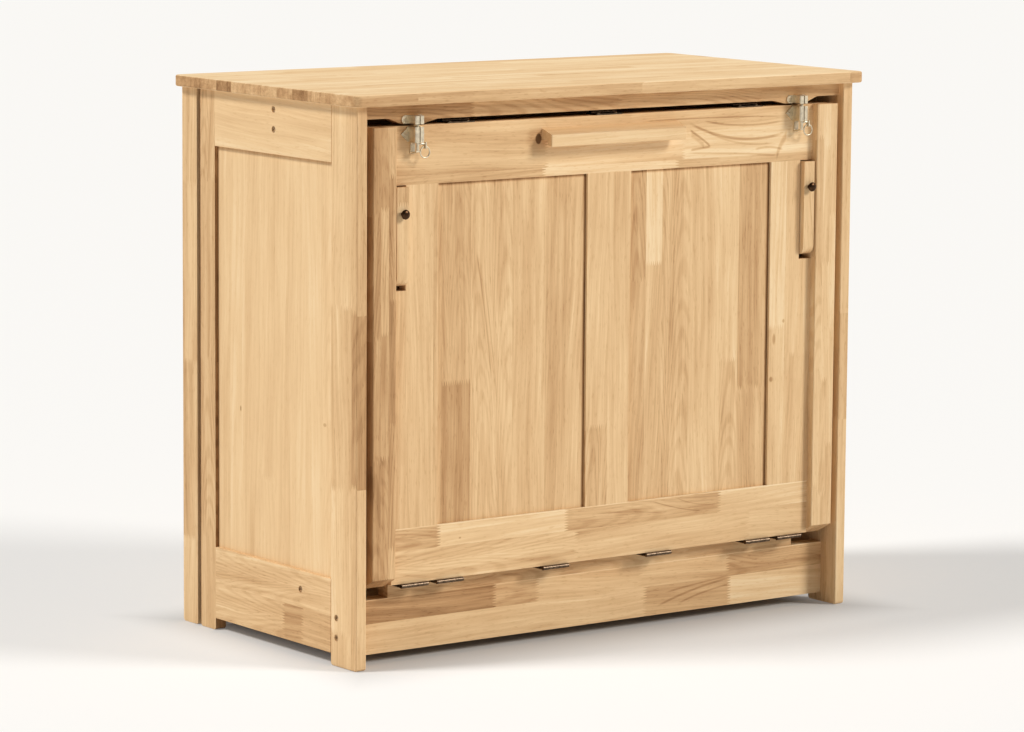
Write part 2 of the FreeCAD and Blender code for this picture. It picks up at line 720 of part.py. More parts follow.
def pull_handle():
    """A bar with a sloping top and a lip to pull on, hollowed underneath for the fingers."""
    corners = (
        ("0", "0"),
        ("handle_lip", "0"),
        ("handle_lip + handle_scoop", "handle_under - handle_low"),
        ("handle_reach", "handle_under - handle_low"),
        ("handle_reach", "handle_back_high - handle_low"),
        ("0", "handle_face_high - handle_low"),
    )
    handle = sketched("pull_handle", "YZ_Plane", corners, "2 * handle_half")
    ease(handle, "stile_ease", lambda edge: edge.BoundBox.YMax < size("handle_lip") + 0.1)
    put(handle, "-handle_half", "panel_face - handle_reach", "handle_low")
    keep("pull_handle", handle)


# ---------------------------------------------------------------- legs

def leg(name, side, face, pivot, tail, high):
    """A square leg with a rounded end below its pivot, standing up."""
    x = (mirrored_low(side, "leg_inner", "leg_wide"), "leg_wide")
    low = f"{pivot} - {tail}"
    blank = block(f"{name}_blank", x, (face, "leg_deep"), (low, f"{high} - ({low})"))
    doc.recompute()
    bottom = blank.Shape.BoundBox.ZMin
    shaped = rounded(
        f"{name}_round",
        blank,
        size("leg_round"),
        lambda edge: runs_along(edge, X_AXIS) and edge.BoundBox.ZMax < bottom + 0.1,
    )
    bore_x = mirrored_low(side, "leg_inner - 1", "leg_wide + 2")
    middle = f"{face} + leg_deep / 2"
    bore_radius = "pivot_pin + running_gap"
    bore = rod(f"{name}_bore", bore_radius, "leg_wide + 2", bore_x, middle, pivot, "X")
    return cut(f"{name}_bored", shaped, [bore])


def front_legs():
    front_pins = []
    for side, word in SIDES:
        name = f"front_leg_{word}"
        keep(name, leg(name, side, "leg_face", "leg_pivot", "leg_tail", "leg_top"))
        front_pins.append(leg_pin(side, word, "front"))
        keep(f"front_leg_knob_{word}", leg_knob(side, word))
    keep("front_leg_pivots", group("front_pivots", front_pins))


def leg_knob(side, word):
    """A small turned knob: a tapered stem and a domed head, on the front of a leg."""
    middle = "leg_inner + leg_wide / 2"
    centre = middle if side == RIGHT else f"-({middle})"
    stem = doc.addObject("Part::Cone", f"knob_stem_{word}")
    stem.Placement = FreeCAD.Placement(FreeCAD.Vector(), FreeCAD.Rotation(X_AXIS, 90))
    stem.setExpression("Radius1", bound("knob_radius / 2"))
    stem.setExpression("Radius2", bound("knob_radius / 3"))
    stem.setExpression("Height", bound("knob_stem"))
    put(stem, centre, "leg_face", "knob_height")
    head = doc.addObject("Part::Ellipsoid", f"knob_head_{word}")
    head.Placement = FreeCAD.Placement(FreeCAD.Vector(), FreeCAD.Rotation(X_AXIS, 90))
    head.setExpression("Radius1", bound("knob_dome"))
    head.setExpression("Radius2", bound("knob_radius"))
    head.setExpression("Radius3", bound("knob_radius"))
    put(head, centre, "leg_face - knob_stem", "knob_height")
    return fuse(f"knob_{word}", [stem, head])


# ---------------------------------------------------------------- foot panel

def foot_pin(side, word, use):
    inner, wide = "notch_inner - pin_bite", "door_half - notch_inner + 2 * pin_bite"
    x = mirrored_low(side, inner, wide)
    depth = "foot_face + leg_deep / 2 + foot_leg_sunk"
    return rod(f"foot_pin_{use}_{word}", "pivot_pin", wide, x, depth, "foot_pivot", "X")


def foot_notches():
    """The spaces that the foot legs fold into, beside the side rails."""
    wide = "door_half - notch_inner"
    low = "foot_pivot - leg_deep / 2 - foot_leg_space"
    z = span(low, "foot_pivot + leg_top - leg_pivot + foot_leg_space")
    return [
        block(
            f"foot_notch_{word}",
            (mirrored_low(side, "notch_inner", wide), wide),
            ("foot_face", "panel_thick"),
            z,
        )
        for side, word in SIDES
    ]


def foot_panel():
    """The folded section behind the front panel, its sleeping face towards the front."""
    rail_thick = ("foot_face", "panel_thick")
    near = across("near_blank", "door_half", rail_thick, span("door_high - foot_rail_tall", "door_high"))
    doc.recompute()
    top_back = near.Shape.BoundBox
    bevel = doc.addObject("Part::Chamfer", "near_bevel")
    bevel.Base = near
    bevel.Edges = [
        (number, size("foot_chamfer"), size("foot_chamfer"))
        for number, edge in enumerate(near.Shape.Edges, start=1)
        if runs_along(edge, X_AXIS)
        and edge.BoundBox.ZMin > top_back.ZMax - 0.1
        and edge.BoundBox.YMin > top_back.YMax - 0.1
    ]
    keep("foot_near_rail", bevel)

    board_y = ("foot_face", "foot_board")
    board_z = span("foot_low + foot_rail_tall", "door_high - foot_rail_tall")
    keep("foot_deck_board", across("foot_board", "notch_inner", board_y, board_z))

    far_z = ("foot_low", "foot_rail_tall")
    far = across("far_blank", "door_half", rail_thick, far_z)
    far_cuts = foot_notches()
    foot_pins = []
    for side, word in SIDES:
        far_cuts.append(foot_pin(side, word, "far"))
        wide = "rail_outer - door_half"
        rail_x = (mirrored_low(side, "door_half", wide), wide)
        rail_z = span("foot_low", "door_high")
        rail = block(f"foot_rail_blank_{word}", rail_x, ("foot_face", "bed_rail_deep"), rail_z)
        bored = cut(f"foot_rail_{word}", rail, [foot_pin(side, word, "rail")])
        keep(f"foot_side_rail_{word}", bored)
        foot_pins.append(foot_pin(side, word, "loose"))
    keep("foot_far_rail", cut("far_rail", far, far_cuts))
    keep("foot_leg_pivots", group("foot_pivots", foot_pins))


def foot_legs():
    high = "foot_pivot + leg_top - leg_pivot"
    for side, word in SIDES:
        name = f"foot_leg_{word}"
        face = "foot_face + foot_leg_sunk"
        keep(name, leg(name, side, face, "foot_pivot", "leg_deep / 2", high))


# ---------------------------------------------------------------- latches

def winged_plate(name, centre, low, high, depth):
    """A thin plate with a pointed wing each side, standing on its edge."""
    middle = f"({high} - ({low})) / 2"
    corners = (
        ("wing_reach - case_half", "0"),
        ("wing_reach + case_half", "0"),
        ("2 * wing_reach", middle),
        ("wing_reach + case_half", f"{high} - ({low})"),
        ("wing_reach - case_half", f"{high} - ({low})"),
        ("0", middle),
    )
    plate = sketched(name, "XZ_Plane", corners, "sheet_thick", flip=True)
    return put(plate, f"{centre} - wing_reach", depth, low)


def eared_plate(name, centre, low, high, depth):
    """A thin plate with a half-round ear each side."""
    round_end = f"({high} - ({low})) / 2"
    to_end = f"ear_reach - {round_end}"
    flat = block(f"{name}_flat", (f"{centre} - ({to_end})", f"2 * ({to_end})"), (depth, "sheet_thick"), span(low, high))
    ears = [
        rod(f"{name}_ear_{i}", round_end, "sheet_thick", f"{centre} + {turn} * ({to_end})", depth, f"({high} + {low}) / 2", "Y")
        for i, turn in enumerate(("-1", "1"))
    ]
    return fuse(f"{name}_shape", [flat] + ears)


def housing(name, centre, low, high):
    """The raised middle of a latch case or keeper, with its front edges rounded."""
    x = (f"{centre} - case_half", "2 * case_half")
    blank = block(f"{name}_blank", x, span("case_front", "panel_face"), span(low, high))
    front = y_of(size("case_front"))
    return rounded(
        name,
        blank,
        size("case_round"),
        lambda edge: runs_along(edge, Z_AXIS) and edge.BoundBox.YMax < front + 0.1,
    )


def front_groove(name, centre, low, high):
    """The slot down the front of a housing, through to the bore of its bolt."""
    x = (f"{centre} - groove_half", "2 * groove_half")
    return block(name, x, span("case_front - 1", "latch_depth"), span(f"{low} - 1", f"{high} + 1"))


def lip(name, centre):
    """The foot of the latch plate, bent forward and up under the bolt."""
    run = "panel_face - latch_depth + bolt_radius"
    corners = (
        ("0", "lip_rise"),
        (run, "0"),
        (run, "sheet_thick"),
        ("0", "lip_rise + sheet_thick"),
    )
    shape = sketched(name, "YZ_Plane", corners, "plate_half + bolt_radius")
    return put(shape, f"{centre} - plate_half", "latch_depth - bolt_radius", "plate_low")


def latch_case(side, word):
    """Plate, housing and lip; the housing is slotted for the bolt's side arm."""
    centre = f"{side} * latch_from_mid"
    plate_depth = "panel_face - sheet_thick"
    plate = winged_plate(f"case_plate_{word}", centre, "case_low", "case_high", plate_depth)
    strip_x = (f"{centre} - plate_half", "2 * plate_half")
    strip = block(f"case_strip_{word}", strip_x, (plate_depth, "sheet_thick"), span("plate_low", "case_high"))
    raised = housing(f"case_housing_{word}", centre, "case_low", "case_high")
    solid = fuse(f"case_blank_{word}", [plate, strip, lip(f"case_lip_{word}", centre), raised])
    radius = "bolt_radius + running_gap"
    long = "case_high - case_low + 2"
    bore = rod(f"case_bore_{word}", radius, long, centre, "latch_depth", "case_low - 1", "Z")
    groove = front_groove(f"case_groove_{word}", centre, "case_low", "case_high")
    slot_y = ("latch_depth - arm_slot_half", "2 * arm_slot_half")
    slot_z = ("case_low - 1", "arm_slot_tall + 1")
    slot = block(f"case_slot_{word}", (centre, "case_half + 1"), slot_y, slot_z)
    return cut(f"case_{word}", solid, [bore, groove, slot])


def keeper(side, word):
    """The catch on the header: a plate with two ears and a short housing for the bolt."""
    centre = f"{side} * latch_from_mid"
    plate_depth = "panel_face - sheet_thick"
    plate = eared_plate(f"keeper_plate_{word}", centre, "keeper_low", "keeper_high", plate_depth)
    raised = housing(f"keeper_housing_{word}", centre, "keeper_low", "keeper_high")
    radius = "bolt_radius + keeper_play"
    long = "keeper_high - keeper_low + 2"
    bore = rod(f"keeper_bore_{word}", radius, long, centre, "latch_depth", "keeper_low - 1", "Z")
    groove = front_groove(f"keeper_groove_{word}", centre, "keeper_low", "keeper_high")
    return cut(f"keeper_{word}", fuse(f"keeper_blank_{word}", [plate, raised]), [bore, groove])


def latch_bolt(side, word):
    """The sliding bolt, drawn, with a side arm that ends in an eye for the pull ring."""
    centre = f"{side} * latch_from_mid"
    long = "bolt_high - bolt_low"
    shaft = rod(f"bolt_shaft_{word}", "bolt_radius", long, centre, "latch_depth", "bolt_low", "Z")
    doc.recompute()
    top = shaft.Shape.BoundBox.ZMax
    shaft = rounded(
        f"bolt_nose_{word}",
        shaft,
        size("bolt_nose"),
        lambda edge: edge.BoundBox.ZMin > top - 0.1 and edge.BoundBox.ZLength < 1e-6,
    )
    arm = rod(f"bolt_arm_{word}", "arm_radius", "arm_reach", centre, "latch_depth", "arm_height", "X")
    eye_x = (f"{centre} + arm_reach - eye_thick / 2", "eye_thick")
    eye_y = ("latch_depth - eye_half", "2 * eye_half")
    eye_z = span("arm_height - eye_drop - eye_below", "arm_height + eye_above")
    eye = block(f"bolt_eye_{word}", eye_x, eye_y, eye_z)
    hole_low = f"{centre} + arm_reach - eye_thick"
    hole_high = "arm_height - eye_drop"
    hole_radius = "ring_wire + ring_play"
    hole = rod(f"eye_hole_{word}", hole_radius, "2 * eye_thick", hole_low, "latch_depth", hole_high, "X")
    return cut(f"latch_bolt_cut_{word}", fuse(f"latch_bolt_blank_{word}", [shaft, arm, eye]), [hole])


def pull_ring(side, word):
    """A wire ring that hangs in the eye, flat to the front."""
    ring = doc.addObject("Part::Torus", f"ring_{word}")
    ring.Placement = FreeCAD.Placement(FreeCAD.Vector(), FreeCAD.Rotation(X_AXIS, 90))
    ring.setExpression("Radius1", bound("ring_radius"))
    ring.setExpression("Radius2", bound("ring_wire"))
    centre = f"{side} * latch_from_mid + arm_reach"
    return put(ring, centre, "latch_depth", "arm_height - eye_drop - ring_radius")


def latches():
    keep("latch_cases", group("cases", [latch_case(side, word) for side, word in SIDES]))
    keep("latch_keepers", group("keepers", [keeper(side, word) for side, word in SIDES]))
    for side, word in SIDES:
        keep(f"latch_bolt_{word}", latch_bolt(side, word))
        keep(f"pull_ring_{word}", pull_ring(side, word))


# ---------------------------------------------------------------- whole

def check():
    doc.recompute()
    for thing in doc.Objects:
        if "Invalid" in thing.State or "Error" in thing.State:
            raise RuntimeError(f"{thing.Name} failed: {thing.State}")
    for label, thing in pieces.items():
        if thing.Shape.isNull() or not thing.Shape.isValid() or not thing.Shape.Solids:
            raise RuntimeError(f"{label} has no valid solid")


def export():
    os.makedirs("parts", exist_ok=True)
    for label, thing in pieces.items():
        thing.Shape.exportStep(os.path.join("parts", f"{label}.step"))
    print(len(pieces), "pieces written")


def main():
    fill_sheet()
    top_slab()
    for side, word in SIDES:
        side_frame(side, word)
    corner_cleats()
    back()
    inner_rails()
    deck_slats()
    side_bolts()
    header_rail()
    hinge_rail()
    lower_hinges()
    fold_hinges()
    door_frame()
    bed_side_rails()
    pull_handle()
    front_legs()
    foot_panel()
    foot_legs()
    latches()
    check()
    export()


main()
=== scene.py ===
"""A cabinet bed in finger-jointed light hardwood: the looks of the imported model."""

import math
import bpy
from mathutils import Matrix, Vector


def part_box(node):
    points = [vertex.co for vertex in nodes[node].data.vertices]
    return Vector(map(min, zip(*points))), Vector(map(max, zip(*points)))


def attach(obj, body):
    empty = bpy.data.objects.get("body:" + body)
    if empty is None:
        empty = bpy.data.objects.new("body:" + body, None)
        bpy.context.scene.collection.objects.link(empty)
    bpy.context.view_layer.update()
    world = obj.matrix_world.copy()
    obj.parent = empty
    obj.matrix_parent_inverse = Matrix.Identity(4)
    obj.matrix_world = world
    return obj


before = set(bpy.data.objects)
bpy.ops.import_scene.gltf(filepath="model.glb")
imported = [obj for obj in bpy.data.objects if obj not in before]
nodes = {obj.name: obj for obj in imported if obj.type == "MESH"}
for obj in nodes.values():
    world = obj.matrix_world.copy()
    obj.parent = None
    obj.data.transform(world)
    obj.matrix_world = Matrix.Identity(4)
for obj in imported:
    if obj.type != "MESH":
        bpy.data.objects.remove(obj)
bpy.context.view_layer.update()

X, Y, Z = 0, 1, 2
LOW, HIGH = 0, 1
SIDES = ((-1, "left"), (1, "right"))


def part_edge(name, end, axis):
    """Where a part ends along an axis, at its LOW or its HIGH end."""
    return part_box(name)[end][axis]


SIDE_FRONT = part_edge("side_front_stile_left", LOW, Y)


def deep(depth):
    """The Y of a place at this depth behind the front edge of the sides."""
    return SIDE_FRONT + depth


# ---------------------------------------------------------------- shader maths


class Amount:
    """A number that changes over a surface. Python's signs on it add Math nodes."""

    def __init__(self, finish, socket):
        self.finish = finish
        self.socket = socket

    def maths(self, operation, *terms):
        settings = {"operation": operation}
        return self.finish.node("ShaderNodeMath", settings, dict(enumerate(terms)))

    def __add__(self, other):
        return self.maths("ADD", self, other)

    __radd__ = __add__

    def __sub__(self, other):
        return self.maths("SUBTRACT", self, other)

    def __rsub__(self, other):
        return self.maths("SUBTRACT", other, self)

    def __mul__(self, other):
        return self.maths("MULTIPLY", self, other)

    __rmul__ = __mul__

    def __truediv__(self, other):
        return self.maths("DIVIDE", self, other)

    def __gt__(self, other):
        return self.maths("GREATER_THAN", self, other)

    def __abs__(self):
        return self.maths("ABSOLUTE", self)

    def larger(self, other):
        return self.maths("MAXIMUM", self, other)

    def floor(self):
        return self.maths("FLOOR", self)

    def fract(self):
        return self.maths("FRACT", self)

    def sine(self):
        return self.maths("SINE", self)

    def ease(self, low, high):
        """0 below low, 1 above high and smooth between."""
        settings = {"interpolation_type": "SMOOTHSTEP", "clamp": True}
        sockets = {0: self, 1: low, 2: high, 3: 0.0, 4: 1.0}
        return self.finish.node("ShaderNodeMapRange", settings, sockets)


class Finish:
    """One material: its shader, and the nodes that feed it."""

    def __init__(self, name, fixed):
        self.material = bpy.data.materials.new(name)
        self.material.use_nodes = True
        self.tree = self.material.node_tree
        self.shader = self.tree.nodes["Principled BSDF"]
        for socket, value in fixed.items():
            self.shader.inputs[socket].default_value = value

    def node(self, kind, settings, sockets, output=0):
        made = self.tree.nodes.new(kind)
        for key, value in settings.items():
            if key == "stops":
                self.stops(made.color_ramp, value)
            else:
                setattr(made, key, value)
        for key, value in sockets.items():
            if isinstance(value, Amount):
                self.tree.links.new(value.socket, made.inputs[key])
            else:
                made.inputs[key].default_value = value
        return Amount(self, made.outputs[output])

    @staticmethod
    def stops(ramp, stops):
        while len(ramp.elements) < len(stops):
            ramp.elements.new(1.0)
        for element, (place, colour) in zip(ramp.elements, stops):
            element.position = place
            element.color = colour

    def feed(self, **sockets):
        for name, value in sockets.items():
            self.tree.links.new(value.socket, self.shader.inputs[name.replace("_", " ")])

    def parts(self, vector, kind="ShaderNodeSeparateXYZ"):
        """The three numbers that a vector or colour is made of."""
        split = self.node(kind, {}, {0: vector}).socket.node
        return [Amount(self, split.outputs[number]) for number in range(3)]

    def place(self):
        """The three object coordinates, in metres."""
        return self.parts(self.node("ShaderNodeTexCoord", {}, {}, "Object"))

    def facing(self):
        """The way the surface faces, in the object's own axes."""
        return self.parts(self.node("ShaderNodeTexCoord", {}, {}, "Normal"))

    def vector(self, x, y, z):
        return self.node("ShaderNodeCombineXYZ", {}, {0: x, 1: y, 2: z})

    def cloud(self, x, y, z, detail=2.0, rough=0.5):
        """Soft noise from 0 to 1, one lump to each unit of x, y and z."""
        return self.node("ShaderNodeTexNoise", {"noise_dimensions": "3D"}, {
            "Vector": self.vector(x, y, z), "Scale": 1.0, "Detail": detail, "Roughness": rough,
        })

    def chances(self, x, y, z):
        """Three even random numbers that go with the whole numbers x, y and z."""
        settings = {"noise_dimensions": "3D"}
        sockets = {"Vector": self.vector(x, y, z)}
        drawn = self.node("ShaderNodeTexWhiteNoise", settings, sockets, "Color")
        return self.parts(drawn, "ShaderNodeSeparateColor")

    def ramp(self, amount, stops):
        return self.node("ShaderNodeValToRGB", {"stops": stops}, {0: amount})

    def bump(self, height, depth):
        sockets = {"Height": height, "Strength": 1.0, "Distance": depth}
        return self.node("ShaderNodeBump", {}, sockets)


def paint(red, green, blue):
    """A shader colour from the red, green and blue that a screen shows, 0 to 255."""
    def line(level):
        level /= 255
        return level / 12.92 if level <= 0.04045 else ((level + 0.055) / 1.055) ** 2.4
    return line(red), line(green), line(blue), 1.0


# ---------------------------------------------------------------- the wood

WOOD_GLOSS = {"IOR": 1.40, "Specular IOR Level": 0.30}
WOOD_LINE = [
    (0.00, paint(110, 76, 44)),
    (0.20, paint(155, 114, 73)),
    (0.42, paint(193, 150, 104)),
    (0.62, paint(219, 180, 132)),
    (0.80, paint(235, 200, 152)),
    (1.00, paint(248, 222, 180)),
]
FINGER_PITCH = 0.0045
FINGER_LENGTH = 0.010

# Lumps of noise to a metre, over the grain and along it.
WANDER_OVER, WANDER_ALONG = 14.0, 4.0
PATCHES_OVER, PATCHES_ALONG = 26.0, 7.0
BANDS = (42.0, 1.3)
STREAKS = (130.0, 3.2)
LINES = (430.0, 11.0)
DASHES = (520.0, 60.0)

# How far the grain slants and wanders, and how far apart two staves lie in the noise.
SLANT, WANDER_WIDTH = 0.10, 0.016
APART_OVER, APART_ALONG, APART_WANDER, APART_PATCHES = 3.0, 9.0, 40.0, 20.0

# Arches of a plain-sawn stave: rings over the stave, along it, their bow and wander.
ARCHES_OVER, ARCH_BOW, RINGS_ALONG, RING_WANDER, HEART_ASIDE = 19.0, 13.0, 15.0, 5.0, 0.05

# How much each kind of figure darkens the wood, and how far it is sunk for the bump.
BAND_TONE, STREAK_TONE, LINE_TONE = 0.46, 0.50, 0.26
PATCH_TONE, DASH_TONE, RING_TONE = 0.24, 0.09, 0.10
END_GRAIN_TONE = 0.10
DASH_SUNK, RING_SUNK, LINE_SUNK, GRAIN_DEPTH = 0.5, 0.15, 0.4, 0.0003
ROUGHNESS, LINE_ROUGHNESS, DASH_ROUGHNESS = 0.56, 0.16, 0.10


def laid_rows(over, joined, rows):
    """The tone and the number of the stave at a place, from a list of laid rows."""
    edge, tone, stave, before = 0.0, 0.0, 0.0, (0.0, 0.0)
    for number, (width, run) in enumerate(rows):
        row_tone, row_stave = run[0], 10.0 * number
        for tone_before, joint, tone_after in zip(run[0::2], run[1::2], run[2::2]):
            passed = joined > joint
            row_tone = row_tone + passed * (tone_after - tone_before)
            row_stave = row_stave + passed
        if number == 0:
            tone, stave = row_tone, row_stave
        else:
            here = over > edge
            tone = tone + here * (row_tone - before[0])
            stave = stave + here * (row_stave - before[1])
        before = (row_tone, row_stave)
        edge += width
    return tone, stave


def wood(
    name, grain, across, low, rows, seed, tone=0.70, spread=0.10, block=0.30,
    marks=(), veins=(), seams=(), figure=1.0, rim=None,
):
    """A board of finger-jointed staves.

    grain and across are axes, low the board's low edge along across. rows is the width of
    staves whose joints and tones fall at random, or a list of rows from the low edge up,
    each (width, [tone, joint, tone, joint, tone ...]). marks are knots and dark flecks:
    (along, over, half length, half width, depth). veins are dark lines of the grain:
    (along, over, to along, to over, bow, half width, depth). The edge lines that follow the
    veins, (axis, place, reach, depth), are painted light along edges where boards meet: a
    positive depth is painted shade in a groove or recess, a negative depth a painted
    highlight on an edge. rim is (axis, darker, spread): the faces that don't look along that
    axis are made darker, by a random amount within spread for each stave; on the rear
    stiles this is painted shade.
    """
    finish = Finish(name, WOOD_GLOSS)
    xyz = finish.place()
    third = 3 - grain - across
    along, over, through = xyz[grain], xyz[across] - low, xyz[third]

    tooth = abs((over / FINGER_PITCH).fract() - 0.5) * (2 * FINGER_LENGTH)
    joined = along + tooth
    if isinstance(rows, list):
        level, number = laid_rows(over, joined, rows)
        shift, turn, curl = finish.chances(number, float(seed), 3.0)
    else:
        number = (over / rows).floor()
        slide, _, _ = finish.chances(number, float(seed), 7.0)
        piece = (joined / block + slide * 5.0).floor()
        shift, turn, curl = finish.chances(number, piece, float(seed))
        level, _, _ = finish.chances(piece, number, seed + 11.0)
        level = tone + (level - 0.5) * (2 * spread)

    # the grain of one stave: a slant, a slow wander, and a piece of its own of the noise
    wander = finish.cloud(
        along * WANDER_ALONG + shift * APART_WANDER, over * WANDER_OVER, through * WANDER_OVER, 1.0,
    )
    patches = finish.cloud(
        along * PATCHES_ALONG + shift * APART_PATCHES, over * PATCHES_OVER, through * PATCHES_OVER,
    )
    slanted = over + along * ((turn - 0.5) * SLANT) + (wander - 0.5) * WANDER_WIDTH
    side = slanted + shift * APART_OVER
    length = along + turn * APART_ALONG

    def drawn_out(lumps, detail, rough=0.5):
        """Noise that is stretched along the grain."""
        lumps_over, lumps_along = lumps
        return finish.cloud(
            side * lumps_over, length * lumps_along, through * lumps_over, detail, rough,
        )

    bands = drawn_out(BANDS, 2.0)
    streaks = drawn_out(STREAKS, 3.0, 0.62)
    lines = drawn_out(LINES, 2.0, 0.55)
    dashes = drawn_out(DASHES, 1.0).ease(0.60, 0.72)

    # plain-sawn figure: rings that close into arches along the middle of some staves
    middle = side - shift * APART_OVER + (curl - 0.5) * HEART_ASIDE
    arch = (middle * ARCHES_OVER).fract() - 0.5
    turns = arch * arch * ARCH_BOW + length * RINGS_ALONG + wander * RING_WANDER
    rings = (turns * (2 * math.pi)).sine() * 0.5 + 0.5
    rings = rings.ease(0.35, 1.0) * curl.ease(0.60, 0.90)

    level = level + (bands - 0.5) * (BAND_TONE * figure) + (streaks - 0.5) * (STREAK_TONE * figure)
    level = level + (lines - 0.5) * (LINE_TONE * figure) + (patches - 0.5) * (PATCH_TONE * figure)
    level = level - dashes * (DASH_TONE * figure) - rings * (RING_TONE * figure)
    for at, beside, half_long, half_wide, depth in marks:
        far_along, far_over = (along - at) / half_long, (xyz[across] - beside) / half_wide
        far = far_along * far_along + far_over * far_over + (lines - 0.5) * 0.7
        level = level - (1.0 - far.ease(0.15, 1.0)) * depth
    for at, beside, to_along, to_over, bow, half_wide, depth in veins:
        gone = (along - at) / (to_along - at)
        bent = gone * (to_over - beside) + gone * (1.0 - gone) * (4 * bow)
        line = bent + (wander - 0.5) * 0.004
        far = abs(xyz[across] - beside - line).ease(half_wide * 0.2, half_wide)
        begun, ended = gone.ease(-0.02, 0.12), gone.ease(0.88, 1.02)
        level = level - (1.0 - far) * begun * (1.0 - ended) * depth
    # Edge lines: painted shade where depth is positive, a painted highlight where it is negative.
    for axis, at, reach, depth in seams:
        level = level - (1.0 - abs(xyz[axis] - at).ease(0.0, reach)) * depth

    facing = finish.facing()
    level = level - abs(facing[grain]).ease(0.6, 0.9) * END_GRAIN_TONE
    # Faces turned away from the rim axis are made darker; on the rear stiles this is painted shade.
    if rim:
        axis, darker, rim_spread = rim
        _, chance, _ = finish.chances(number, seed + 5.0, 2.0)
        turned_away = 1.0 - abs(facing[axis]).ease(0.45, 0.9)
        level = level - turned_away * (darker + (chance - 0.5) * (2 * rim_spread))

    finish.feed(
        Base_Color=finish.ramp(level, WOOD_LINE),
        Roughness=ROUGHNESS + lines * LINE_ROUGHNESS + dashes * DASH_ROUGHNESS,
        Normal=finish.bump(
            0.0 - dashes * DASH_SUNK - rings * RING_SUNK - lines * LINE_SUNK, GRAIN_DEPTH,
        ),
    )
    return finish.material


def dress(name, material):
    """Puts one material in every slot of a CAD node."""
    for slot in nodes[name].material_slots:
        slot.material = material


def board(name, grain, across, stave, seed, **words):
    """A wood finish for a node. stave is a width, or a list of laid rows."""
    low = part_edge(name, LOW, across)
    if not isinstance(stave, list):
        width = part_edge(name, HIGH, across) - low
        stave = width / max(1, round(width / stave))
    dress(name, wood(name + "_wood", grain, across, low, stave, seed, **words))


# Edge lines: painted shade in the groove at a panel's edge, and a painted highlight as a bright
# hairline along a board's edge.
SHADE = 0.007
GLINT = -0.30
GLINT_REACH = 0.0028
PANEL_TOP = part_edge("door_top_rail", LOW, Z)

board("top_slab", X, Y, 0.045, 3, tone=0.85, spread=0.06, block=0.45, rim=(Z, 0.32, 0.11))
for number, (sign, side) in enumerate(SIDES):
    # The rear stiles get painted shade: their faces that don't look sideways are darker, and so is
    # a strip along their back edge, by the gap behind them.
    board(
        "side_rear_stile_" + side, Z, Y, 0.046, 23 + number, tone=0.62, spread=0.08,
        rim=(X, 0.42, 0.0),
        seams=[(Y, part_edge("side_rear_stile_left", HIGH, Y), 0.003, 0.40)],
    )
    board("rear_post_" + side, Z, Y, 0.045, 25 + number, tone=0.72, spread=0.08)
    board("side_top_rail_" + side, Y, Z, [(0.12, [0.78])], 27 + number, figure=0.7)
    board(
        "side_panel_" + side, Z, Y, 0.048, 31 + number,
        tone=0.77, spread=0.035, block=2.0, figure=0.6,
        marks=[
            (0.384, deep(0.349), 0.006, 0.0025, 0.4),
            (0.388, deep(0.099), 0.004, 0.006, 0.25),
        ],
        # Painted shade along the panel's top edge under the rail and along its front and rear edges
        # by the stiles.
        seams=[
            (Z, part_edge("side_top_rail_left", LOW, Z), SHADE, 0.30),
            (Y, part_edge("side_front_stile_left", HIGH, Y), SHADE, 0.12),
            (Y, part_edge("side_rear_stile_left", LOW, Y), 0.005, 0.35),
        ],
    )
    rail_tone, leg_tone = (0.76, 0.76) if sign > 0 else (0.48, 0.64)
    board(
        "door_side_rail_" + side, Z, X, 0.016, 45 + number,
        tone=rail_tone, spread=0.10, block=0.2,
    )
    board("foot_side_rail_" + side, Z, X, 0.045, 47 + number)
    board("front_leg_" + side, Z, X, 0.030, 49 + number, tone=leg_tone, spread=0.03)
    board("foot_leg_" + side, Z, X, 0.030, 51 + number)
board("side_front_stile_left", Z, Y, [
    (0.014, [0.62, 0.305, 0.44, 0.585, 0.62]),
    (0.059, [0.70, 0.062, 0.78, 0.295, 0.68, 0.590, 0.78]),
], 21)
board("side_front_stile_right", Z, Y, [
    (0.014, [0.78, 0.335, 0.66, 0.52, 0.74]),
    (0.059, [0.70, 0.40, 0.76]),
], 22)
board("side_bottom_rail_left", Y, Z, [
    (0.060, [0.58, -0.095, 0.46, -0.0395, 0.70]),
    (0.061, [0.70]),
], 29)
board("side_bottom_rail_right", Y, Z, 0.060, 30, tone=0.72)
board("rear_cleats", Z, Y, 0.045, 61)
board("back_panel", Z, X, 0.120, 62, tone=0.74, spread=0.04, block=2.0, figure=0.8)
board("back_top_rail", X, Z, 0.035, 63)
board("back_bottom_rail", X, Z, 0.050, 64)
board("header_rail", X, Z, 0.032, 65, tone=0.50)
board("top_stretcher", X, Z, 0.035, 66)
board("hinge_rail", X, Z, [(0.030, [0.50, -0.205, 0.62, 0.20, 0.58])], 67)
board(
    "front_apron", X, Z, [
        (0.050, [0.70, 0.1105, 0.56, 0.293, 0.80]),
        # The first stave of the upper row is dark partly in its own tone and partly as painted
        # shade.
        (0.050, [0.28, -0.205, 0.54, -0.117, 0.64, 0.10, 0.62, 0.29, 0.58]),
    ], 68,
    veins=[
        (0.130, 0.030, 0.290, 0.063, 0.004, 0.0030, 0.20),
        (0.177, 0.030, 0.292, 0.052, 0.003, 0.0026, 0.18),
        (0.150, 0.052, 0.285, 0.066, 0.001, 0.0024, 0.16),
    ],
    # Painted highlight: a bright hairline along the apron's top edge.
    seams=[(Z, part_edge("front_apron", HIGH, Z), GLINT_REACH, GLINT)],
)
board("deck_cross_rail", X, Z, 0.050, 69)
board("deck_slats", Y, X, 0.050, 70)
